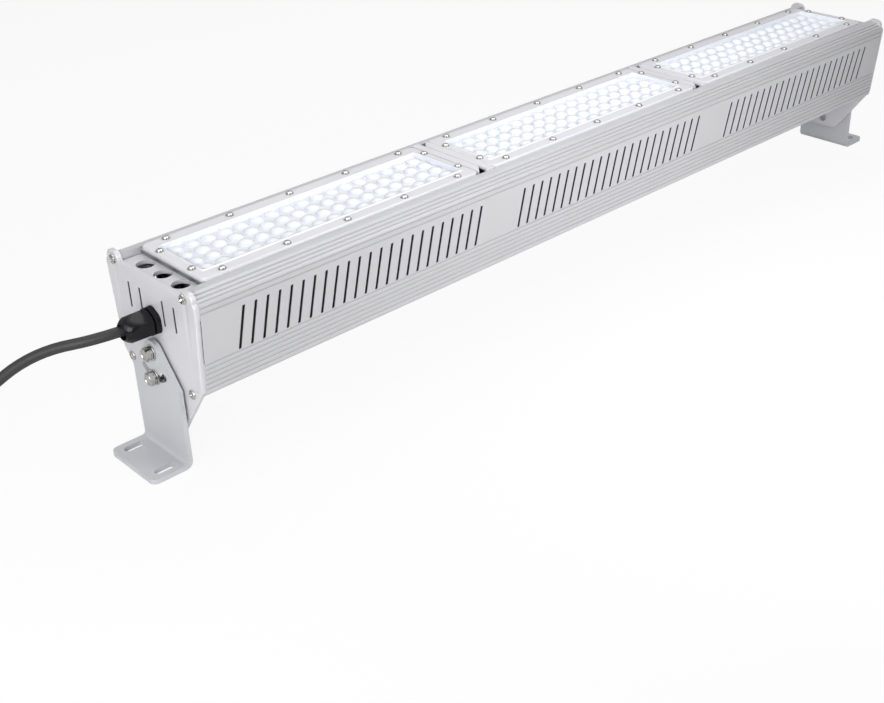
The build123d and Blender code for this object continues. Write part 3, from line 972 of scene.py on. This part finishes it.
@dataclass
class Modules:
    """Heat sinks, boards, gaskets and domed lens panels with their screws, in millimetres."""

    count: int = 3
    flange_radius: float = 4.0
    flange_height: float = 3.0
    field_margin: float = 7.5
    field_half: float = 30.0
    field_drop: float = 4.0
    columns: int = 17
    rows: int = 4
    pitch: Point = (15.1, 14.0)
    dome_segments: int = 20
    dome_profile: list[Point] = field(default_factory=lambda: [
        (6.75, -0.2), (6.55, 0.35), (6.10, 0.95), (5.35, 1.60),
        (4.35, 2.15), (3.10, 2.55), (1.60, 2.78), (0.25, 2.84),
    ])
    side_screw_reach: float = 37.3
    side_screw_pitch: float = 59.15
    end_screw_reach: Point = (134.0, 21.3)
    screw: PanScrew = field(default_factory=lambda: PanScrew(2.7, 1.6, washer_radius=3.5, washer_height=0.5))

    def build(self) -> None:
        """Builds the three modules."""
        screw = self.screw.mesh()
        for number in range(1, self.count + 1):
            dress(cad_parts[f"heat_sink_{number}"], SINK)
            dress(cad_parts[f"led_board_{number}"], BOARD)
            dress(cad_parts[f"lens_gasket_{number}"], GASKET)
            low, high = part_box(f"lens_gasket_{number}")
            middle = (low + high) / 2
            place = at(middle.x, middle.y, high.z)
            self.panel(number, place, (high - low) / (2 * MM), high.z)
            self.screws(number, place, screw)

    def panel(self, number: int, place: Matrix, half: Vector, seat: float) -> None:
        """Builds one lens panel: flange, sunk field, border and domes.

        Args:
            number: The module.
            place: Frame at the middle of the panel's base.
            half: The panel's half sizes.
            seat: Height of the base in metres.
        """
        low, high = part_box(f"lens_panel_{number}")
        bottom = (low.z - seat) / MM
        border = (high.z - seat) / MM
        top = self.flange_height
        floor = top - self.field_drop
        long = half.x - self.field_margin
        wide = self.field_half
        edge = [(0.3, 0.0), (0.0, 0.3), (0.0, top - 0.6), (0.2, top - 0.2), (0.6, top), (0.8, top)]
        lip = [
            (1.4, 3.0, top), (1.2, 3.0, top), (0.9, 3.0, top + 0.1), (0.5, 2.6, border - 0.15),
            (0.0, 2.4, border), (-1.2, 2.0, border), (-1.6, 1.8, border - 0.3),
            (-2.0, 1.5, floor + 0.4), (-2.4, 1.2, floor),
        ]
        steps = [(long, wide, 2.0, bottom), (long, wide, 2.0, 0.0)]
        steps += [(half.x - inset, half.y - inset, self.flange_radius, z) for inset, z in edge]
        steps += [(long + outset, wide + outset, radius, z) for outset, radius, z in lip]
        shape = Shape().rings([rounded_loop(*step, place) for step in steps])
        for i in range(self.columns):
            for j in range(self.rows):
                x = (i - (self.columns - 1) / 2) * self.pitch[0]
                y = (j - (self.rows - 1) / 2) * self.pitch[1]
                shape.lathe(self.dome_profile, self.dome_segments, place @ Matrix.Translation((x, y, floor)))
        mount(shape.done(f"domed_lens_{number}", 40), LENS, f"lens_panel_{number}")

    def screws(self, number: int, place: Matrix, screw: bpy.types.Mesh) -> None:
        """Screws down one panel.

        Args:
            number: The module.
            place: Frame at the middle of the panel's base.
            screw: Mesh of one screw with its washer.
        """
        end_x, end_y = self.end_screw_reach
        side_xs = [k * self.side_screw_pitch for k in range(-2, 3)]
        spots = [(x, s * self.side_screw_reach) for x in side_xs for s in (-1, 1)]
        spots += [(a * end_x, b * end_y) for a in (-1, 1) for b in (-1, 1)]
        frames = []
        for index, (x, y) in enumerate(spots):
            seat = Matrix.Translation((x, y, self.flange_height))
            frames.append(place @ seat @ spun(17 + 47 * index + 31 * number))
        mount(Shape().append(screw, frames).done(f"lens_screws_{number}"), ZINC)


@dataclass
class EndCapScrews:
    """The screws that hold both end caps; the feet swing past the lower heads. In millimetres."""

    face: float = 453.0
    upper: Point = (47.2, 150.9)
    lower: Point = (41.4, 69.1)
    head_radius: float = 4.0
    upper_head: float = 2.55
    lower_head: float = 1.85
    shank_length: float = 19.9
    turns: tuple[int, ...] = (38, 14, 68, 25, 51, 7, 80, 33)

    def build(self) -> None:
        """Builds the eight screws as one piece."""
        kinds = [
            (self.upper, PanScrew(self.head_radius, self.upper_head, shank_length=self.shank_length).mesh()),
            (self.lower, PanScrew(self.head_radius, self.lower_head, shank_length=self.shank_length).mesh()),
        ]
        spots = [(side, s, kind) for side in Side for s in (-1, 1) for kind in kinds]
        shape = Shape()
        for (side, s, ((y, z), screw)), turn in zip(spots, self.turns):
            shape.append(screw, [side.outward(self.face, s * y, z) @ spun(turn)])
        mount(shape.done("cap_pan_screws"), ZINC, "cap_screws")


@dataclass
class TrayScrews:
    """Small screws that hold the tray to the lips of the rails, from below, in millimetres."""

    base: float = 65.0
    across: float = 36.0
    along: tuple[float, ...] = (-400.0, -240.0, -80.0, 80.0, 240.0, 400.0)
    screw: PanScrew = field(default_factory=lambda: PanScrew(3.0, 1.7, washer_radius=3.6, washer_height=0.6))

    def build(self) -> None:
        """Builds the screws as one piece."""
        over = Matrix.Rotation(math.pi, 4, "X")
        frames = []
        for index, x in enumerate(self.along):
            for s in (-1, 1):
                down = over @ spun(40 * index + 25 * s)
                frames.append(at(x * MM, s * self.across * MM, self.base * MM, down))
        mount(Shape().append(self.screw.mesh(), frames).done("tray_screws"), ZINC)


@dataclass
class Feet:
    """Folded feet, and the hexagon-head screws and washers that they tilt on and lock by, in millimetres."""

    cap_face: float = 453.0
    spacer_end: float = 455.05
    washer_seat: float = 459.35
    washer_radius: float = 6.5
    washer_bore: float = 3.15
    washer_thickness: float = 1.2
    ring_segments: int = 40
    spring_seat: float = 460.55
    spring_radius: float = 5.35
    spring_thickness: float = 1.6
    spring_rise: float = 0.35
    spring_start: float = 8.0
    spring_sweep: float = 344.0
    spring_steps: int = 36
    head_seat: float = 462.15
    across_flats: float = 10.0
    head_height: float = 4.0
    head_segments: int = 48
    shank_start: float = 441.0
    shank_radius: float = 2.95
    shank_segments: int = 24
    thread_pitch: float = 1.0
    pivot_height: float = 91.1
    pivot_turn: float = 20.0
    lock_height: float = 69.6
    lock_turn: float = -16.0
    bevel: float = 0.35
    smooth_angle: float = 30.0

    def build(self) -> None:
        """Builds the small parts and dresses the feet."""
        for name in ("near_bracket", "far_bracket"):
            soften(dress(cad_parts[name], BRACKET_PAINT), self.bevel)
        washer_end = self.washer_seat + self.washer_thickness
        self.flat_rings("spacer_rings", "bracket_spacers", self.cap_face, self.spacer_end)
        self.flat_rings("flat_washers", "bracket_flat_washers", self.washer_seat, washer_end)
        self.spring_washers()
        self.hex_screws("pivot", self.pivot_height, self.pivot_turn)
        self.hex_screws("lock", self.lock_height, self.lock_turn)

    def places(self, station: float) -> list[Matrix]:
        """Frames of the four screws at a station: pivot and lock at each end."""
        return [side.outward(station, 0, z) for side in Side for z in (self.pivot_height, self.lock_height)]

    def flat_rings(self, name: str, node: str, start: float, end: float) -> None:
        """Builds the four rings of one kind.

        Args:
            name: Name of the piece.
            node: The frame node that it replaces.
            start: Station of their inner face.
            end: Station of their outer face.
        """
        r = self.washer_radius
        bore = self.washer_bore
        high = end - start
        profile = [(bore, 0.0), (r - 0.1, 0.0), (r, 0.12), (r, high - 0.2), (r - 0.2, high), (bore, high)]
        shape = Shape()
        for place in self.places(start):
            shape.lathe(profile, self.ring_segments, place, Ends.JOINED)
        mount(shape.done(name, self.smooth_angle), ZINC, node)

    def spring_washers(self) -> None:
        """Builds the four split spring washers, each rising a little round its split."""
        thick = self.spring_thickness - self.spring_rise
        inner, outer = self.washer_bore, self.spring_radius
        section = [(inner, 0), (outer, 0), (outer, 1), (inner, 1)]
        shape = Shape()
        for place in self.places(self.spring_seat):
            loops = []
            for i in range(self.spring_steps + 1):
                share = i / self.spring_steps
                turn = math.radians(self.spring_start + self.spring_sweep * share)
                x, y = math.cos(turn), math.sin(turn)
                rise = self.spring_rise * share
                loops.append([place @ Vector((r * x, r * y, rise + thick * up)) for r, up in section])
            shape.rings(loops)
        mount(shape.done("spring_washers", self.smooth_angle), ZINC, "bracket_spring_washers")

    def hex_screws(self, kind: str, height: float, turn: float) -> None:
        """Builds one screw at each end, with a dished head.

        Args:
            kind: Which screw it is, pivot or lock.
            height: Height of its axis.
            turn: How far its head is turned, in degrees.
        """
        top = self.head_height
        corner = self.across_flats / math.sqrt(3)
        head = [
            (4.85, 0.0), (4.85, 0.25), (corner, 0.25), (corner, top - 0.9),
            (corner - 0.35, top - 0.35), (4.75, top), (3.7, top), (3.3, top - 0.5),
        ]
        shank = threaded(self.shank_radius, self.thread_pitch, self.shank_start - self.head_seat, 0.0)
        shape = Shape()
        for side in Side:
            place = side.outward(self.head_seat, 0, height)
            shape.lathe(head, self.head_segments, place @ spun(turn), across_flats=self.across_flats)
            shape.lathe(shank, self.shank_segments, place)
        mount(shape.done(f"{kind}_hex_screws", self.smooth_angle), ZINC, f"{kind}_screws")


@dataclass
class Gland:
    """Cable gland in the near end cap, each part turned about the gland's axis, in millimetres."""

    height: float = 116.5
    segments: int = 60
    smooth_angle: float = 28.0
    cap_face: float = 453.0
    rail_end: float = 449.0
    inner_end: float = 444.0
    hexagon: float = 22.0
    hexagon_length: float = 4.5
    flange_radius: float = 11.6
    thread_radius: float = 7.95
    thread_pitch: float = 1.5
    barrel_end: float = 467.2
    bore: float = 4.7
    seam: float = 0.02
    seal_start: float = 461.2
    seal_radius: float = 6.55
    lead_radius: float = 4.15
    nut_start: float = 458.7
    nut_flats: float = 20.5
    nut_length: float = 22.0
    nut_opening: float = 6.0

    def build(self) -> None:
        """Builds the four parts."""
        self.body()
        self.lock_nut()
        self.seal()
        self.dome_nut()

    def turned(self, shape: Shape, profile: list[Point], station: float, flats: float = math.inf) -> Shape:
        """Turns a ring about the gland's axis.

        Args:
            shape: The shape that it belongs to.
            profile: Radius and height of each step, right round its section.
            station: Where its height is nought.
            flats: Width of its hexagon, endless for a round ring.

        Returns:
            The shape.
        """
        place = Side.NEAR.outward(station, 0, self.height)
        return shape.lathe(profile, self.segments, place, Ends.JOINED, flats)

    def body(self) -> None:
        """Builds the body: a flanged hexagon, a thread inside the cap and a barrel for the nut."""
        corner = self.hexagon / math.sqrt(3)
        long = self.hexagon_length
        hexagon = [
            (self.bore, 0.0), (self.flange_radius, 0.0), (self.flange_radius, 0.7), (corner - 0.5, 0.75),
            (corner, 1.2), (corner, long - 0.9), (corner - 0.9, long), (self.bore, long),
        ]
        shape = self.turned(Shape(), hexagon, self.cap_face, self.hexagon)
        back = threaded(self.thread_radius, self.thread_pitch, self.inner_end - self.cap_face, -self.seam)[1:]
        self.turned(shape, [(self.bore, back[0][1]), *back, (self.bore, -self.seam)], self.cap_face)
        start = self.cap_face + long + self.seam
        end = self.barrel_end - start
        step = self.seal_start - start
        mouth = self.seal_radius + 0.03
        front = threaded(self.thread_radius, self.thread_pitch, 0.0, end)[1:]
        front = [(self.bore, front[0][1]), *front, (mouth, end), (mouth, step), (self.bore, step)]
        self.turned(shape, front, start)
        mount(shape.done("gland_threaded_body", self.smooth_angle), NYLON, "gland_body")

    def lock_nut(self) -> None:
        """Builds the nut inside the cap."""
        corner = self.hexagon / math.sqrt(3)
        high = self.rail_end - self.inner_end
        inner = self.thread_radius + 0.1
        profile = [
            (inner, 0.0), (corner - 0.9, 0.0), (corner, 0.6),
            (corner, high - 0.6), (corner - 0.9, high), (inner, high),
        ]
        shape = self.turned(Shape(), profile, self.inner_end, self.hexagon)
        mount(shape.done("gland_inner_nut", self.smooth_angle), NYLON, "gland_lock_nut")

    def seal(self) -> None:
        """Builds the rubber seal with its inner ribs."""
        high = self.barrel_end - self.seal_start
        inner = self.lead_radius + self.seam
        outer = self.seal_radius
        profile = [
            (inner, 0.0), (outer - 0.4, 0.0), (outer, 0.5), (outer, high - 0.1), (outer - 0.5, high),
            (inner, high), (inner + 0.5, high - 1.2), (inner, 0.5 * high + 0.6),
            (inner + 0.5, 0.5 * high - 0.6), (inner, 1.2),
        ]
        shape = self.turned(Shape(), profile, self.seal_start)
        mount(shape.done("gland_ribbed_seal", self.smooth_angle), RUBBER, "gland_seal")

    def dome_nut(self) -> None:
        """Builds the outer nut: a hexagon at its foot that runs out into a round dome with a wide mouth."""
        corner = self.nut_flats / math.sqrt(3)
        long = self.nut_length
        mouth = self.nut_opening
        inner = self.thread_radius + 0.1
        deep = self.barrel_end - self.nut_start + 0.1
        profile = [
            (inner, 0.0), (corner - 0.9, 0.0), (corner, 0.7), (corner, 9.0), (corner - 0.10, 11.0),
            (corner - 0.35, 13.0), (corner - 0.85, 15.0), (corner - 1.55, 17.0), (corner - 2.5, 18.8),
            (corner - 3.5, 20.2), (corner - 4.5, 21.2), (mouth + 0.7, 21.8), (mouth + 0.25, long),
            (mouth, long - 0.4), (mouth, deep + 0.6), (inner, deep),
        ]
        shape = self.turned(Shape(), profile, self.nut_start, self.nut_flats)
        mount(shape.done("gland_domed_nut", self.smooth_angle), NYLON, "gland_dome_nut")


@dataclass
class MainsLead:
    """Mains lead with its free length wound up, in millimetres.

    The curve runs inside its points: curve_share, which is not used, is its length over theirs, and
    coil_swell is how far the coil's points are set out to make up for it.
    """

    radius: float = 4.15
    coil_radius: float = 46.0
    coil_swell: float = 1.01
    coil_turns: float = 2.55
    coil_end: float = 270.0
    coil_pitch: float = 8.4
    coil_base: float = 1.2
    tail_length: float = 45.0
    points_each_turn: int = 16
    curve_share: float = 0.99
    tie_bevel: float = 0.2
    route: list[Triple] = field(default_factory=lambda: [
        (-440, 0, 116.5),
        (-490, 0, 116.5),
        (-535, 36, 108),
        (-575, 60, 74),
        (-618, 82, 46),
    ])
    coil_entry: Point = (-672, 100)
    core_radius: float = 1.3
    core_spread: float = 1.6
    core_fan: float = 2.7
    core_length: float = 24.0
    core_gap: float = 0.2
    core_segments: int = 20
    bare_length: float = 7.0
    bare_segments: int = 16

    def coil_points(self) -> list[Vector]:
        """Points of the coil, from its top turn down to the surface, and of the free end.

        Returns:
            The points in millimetres.
        """
        base = self.coil_base + self.radius
        top = base + self.coil_turns * self.coil_pitch
        entry = Vector((*self.coil_entry, top))
        run = entry - Vector(self.route[-1])
        along = Vector((run.x, run.y, 0)).normalized()
        inward = Vector((-along.y, along.x, 0))
        middle = entry + inward * self.coil_radius
        start = math.atan2(-inward.y, -inward.x)
        sweep = math.radians(self.coil_end) + 2 * math.pi * math.floor(self.coil_turns) - start
        steps = round(sweep / (2 * math.pi) * self.points_each_turn)
        reach = self.coil_radius * self.coil_swell
        points = []
        for i in range(steps + 1):
            share = i / steps
            turn = start + sweep * share
            x = middle.x + reach * math.cos(turn)
            y = middle.y + reach * math.sin(turn)
            points.append(Vector((x, y, top - (top - base) * share)))
        return points + [points[-1] + Vector((self.tail_length, 0, 0))]

    def build(self) -> None:
        """Builds the lead, its tie and its cores."""
        points = [Vector(p) for p in self.route] + self.coil_points()
        data = bpy.data.curves.new("mains_cable", "CURVE")
        data.dimensions = "3D"
        spline = data.splines.new("NURBS")
        spline.points.add(len(points) - 1)
        for target, point in zip(spline.points, points):
            target.co = (*(point * MM), 1.0)
        spline.order_u = 3
        spline.use_endpoint_u = True
        data.bevel_depth = self.radius * MM
        data.bevel_resolution = 6
        data.resolution_u = 8
        data.use_fill_caps = True
        cable = mount(linked("mains_cable", data), JACKET, "mains_lead", "lead_coil", "lead_tail")
        cores = self.cores(points[-1])
        tie = dress(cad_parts["coil_tie"], TIE)
        soften(tie, self.tie_bevel)

    def cores(self, end: Vector) -> list[bpy.types.Object]:
        """Builds the three fanned cores with the copper bared at their tips.

        Args:
            end: Where the jacket ends.

        Returns:
            The pieces.
        """
        made = []
        tips = Shape()
        r = self.core_radius
        for i, finish in enumerate(CORES):
            turn = math.radians(90 + 120 * i)
            ring_place = Vector((0, math.cos(turn), math.sin(turn)))
            root = end + Vector((self.core_gap, 0, 0)) + ring_place * self.core_spread
            run = Vector((self.core_length, 0, 0)) + ring_place * self.core_fan
            place = at(*(root * MM), run.to_track_quat("Z", "Y").to_matrix().to_4x4())
            full = run.length
            sleeve = full - self.bare_length
            cover = [(r - 0.1, 0.0), (r, 0.2), (r, sleeve - 0.2), (r - 0.15, sleeve)]
            core = Shape().lathe(cover, self.core_segments, place).done(f"lead_{finish.name}")
            made.append(mount(core, finish, "lead_cores"))
            strand = [(0.75, sleeve), (0.8, sleeve + 0.3), (0.8, full - 0.4), (0.6, full)]
            tips.lathe(strand, self.bare_segments, place)
        return [*made, mount(tips.done("core_tips"), COPPER, "lead_cores")]


@dataclass(frozen=True)
class Lamp:
    """A soft square lamp: its place and aim in metres, its side in metres and its power in watts."""

    name: str
    place: Triple
    aim: Triple
    size: float
    power: float

    def build(self) -> None:
        """Hangs the lamp where the camera can't see it."""
        data = bpy.data.lights.new(self.name, "AREA")
        data.size = self.size
        data.energy = self.power
        made = linked(self.name, data)
        way = Vector(self.aim) - Vector(self.place)
        turn = way.to_track_quat("-Z", "Y").to_matrix().to_4x4()
        made.matrix_world = Matrix.Translation(self.place) @ turn
        made.visible_camera = False


@dataclass
class Studio:
    """Camera, lights, floor and sky, in metres and degrees."""

    eye: Triple = (-0.8724, -0.7785, 0.5768)
    heading: float = 42.24
    pitch: float = -30.0
    roll: float = -1.84
    focal_length: float = 53.45
    sensor_width: float = 36.0
    nearest: float = 0.01
    sky_strength: float = 0.215
    mirror_strength: float = 0.15
    mirror_rise: float = 0.60
    mirror_heights: Point = (0.05, 0.45)
    floor_half: float = 6.0
    floor_drop: float = 0.0006
    floor_thickness: float = 0.02
    floor_grey: float = 0.85
    floor_glow: float = 0.91
    floor_mirror_glow: float = 0.15
    lamps: list[Lamp] = field(default_factory=lambda: [
        Lamp("key", (0.00, -0.45, 0.40), (0.0, -0.06, 0.11), 0.40, 1.54),
        Lamp("key_right", (0.12, -0.55, 0.30), (0.1, -0.06, 0.11), 0.40, 0.60),
        Lamp("end", (-1.20, -0.20, 0.50), (-0.45, 0.0, 0.1), 0.60, 2.3),
        Lamp("end_close", (-0.95, -0.46, 0.35), (-0.45, 0.0, 0.1), 0.40, 2.6),
        Lamp("top", (-0.25, 0.10, 1.10), (-0.15, 0.0, 0.1), 0.80, 2.2),
        Lamp("far_top", (0.35, 0.30, 1.10), (0.30, 0.0, 0.1), 0.80, 3.4),
        Lamp("back", (0.20, 1.30, 1.20), (0.0, 0.0, 0.1), 1.20, 0.96),
    ])

    def build(self) -> None:
        """Sets the whole studio up."""
        self.camera()
        self.sky()
        self.floor()
        for lamp in self.lamps:
            lamp.build()
        bpy.context.scene.view_settings.view_transform = "Standard"

    def camera(self) -> None:
        """Places the camera where the photograph was taken from."""
        data = bpy.data.cameras.new("camera")
        data.sensor_fit = "HORIZONTAL"
        data.sensor_width = self.sensor_width
        data.lens = self.focal_length
        data.clip_start = self.nearest
        made = linked("camera", data)
        tilt = Matrix.Rotation(math.radians(90 + self.pitch), 4, "X")
        made.matrix_world = Matrix.Translation(self.eye) @ spun(-self.heading) @ tilt @ spun(self.roll)
        bpy.context.scene.camera = made

    def sky(self) -> None:
        """White behind the object, softer as light, and darker low down in reflections."""
        world = bpy.data.worlds.new("studio")
        bpy.context.scene.world = world
        graph = Graph(world)
        mirrored = graph.ray("Glossy")
        place = graph.add("ShaderNodeTexCoord", {}, {}, "Generated")
        height = graph.add("ShaderNodeSeparateXYZ", {}, {0: place}, "Z")
        reflected = self.mirror_strength + self.mirror_rise * height.stepped(*self.mirror_heights)
        seen = (graph.ray("Camera") + graph.ray("Transmission")).clamped()
        base = self.sky_strength
        strength = base + (1.0 - base) * seen + (reflected - base) * mirrored
        shader = graph.add("ShaderNodeBackground", {}, {"Color": (1.0, 1.0, 1.0, 1.0), "Strength": strength})
        graph.add("ShaderNodeOutputWorld", {}, {"Surface": shader})

    def floor(self) -> None:
        """Pale floor that keeps a faint shadow."""
        half = self.floor_half
        grey = self.floor_grey
        levels = [-self.floor_drop - self.floor_thickness, -self.floor_drop]
        corners = [(half, half), (-half, half), (-half, -half), (half, -half)]
        plane = Shape().rings([[Vector((x, y, z)) for x, y in corners] for z in levels]).done("floor")
        material = bpy.data.materials.new("floor_white")
        graph = Graph(material)
        white = graph.add("ShaderNodeEmission", {}, {"Color": (1.0, 1.0, 1.0, 1.0), "Strength": 1.0})
        matt = graph.add("ShaderNodeBsdfDiffuse", {}, {"Color": (grey, grey, grey, 1.0)})
        share = graph.ray("Camera") * self.floor_glow + graph.ray("Glossy") * self.floor_mirror_glow
        shader = graph.add("ShaderNodeMixShader", {}, {0: share.clamped(), 1: matt, 2: white})
        graph.add("ShaderNodeOutputMaterial", {}, {"Surface": shader})
        plane.data.materials.append(material)


def main() -> None:
    """Builds the scene."""
    logging.basicConfig(level=logging.INFO, format="%(message)s")
    fittings = (EndCapScrews(), TrayScrews(), Feet(), Gland())
    for assembly in (Studio(), MainsLead(), Housing(), EndCaps(), Modules(), *fittings):
        LOG.info("building %s", type(assembly).__name__)
        assembly.build()


if __name__ == "__main__":
    main()
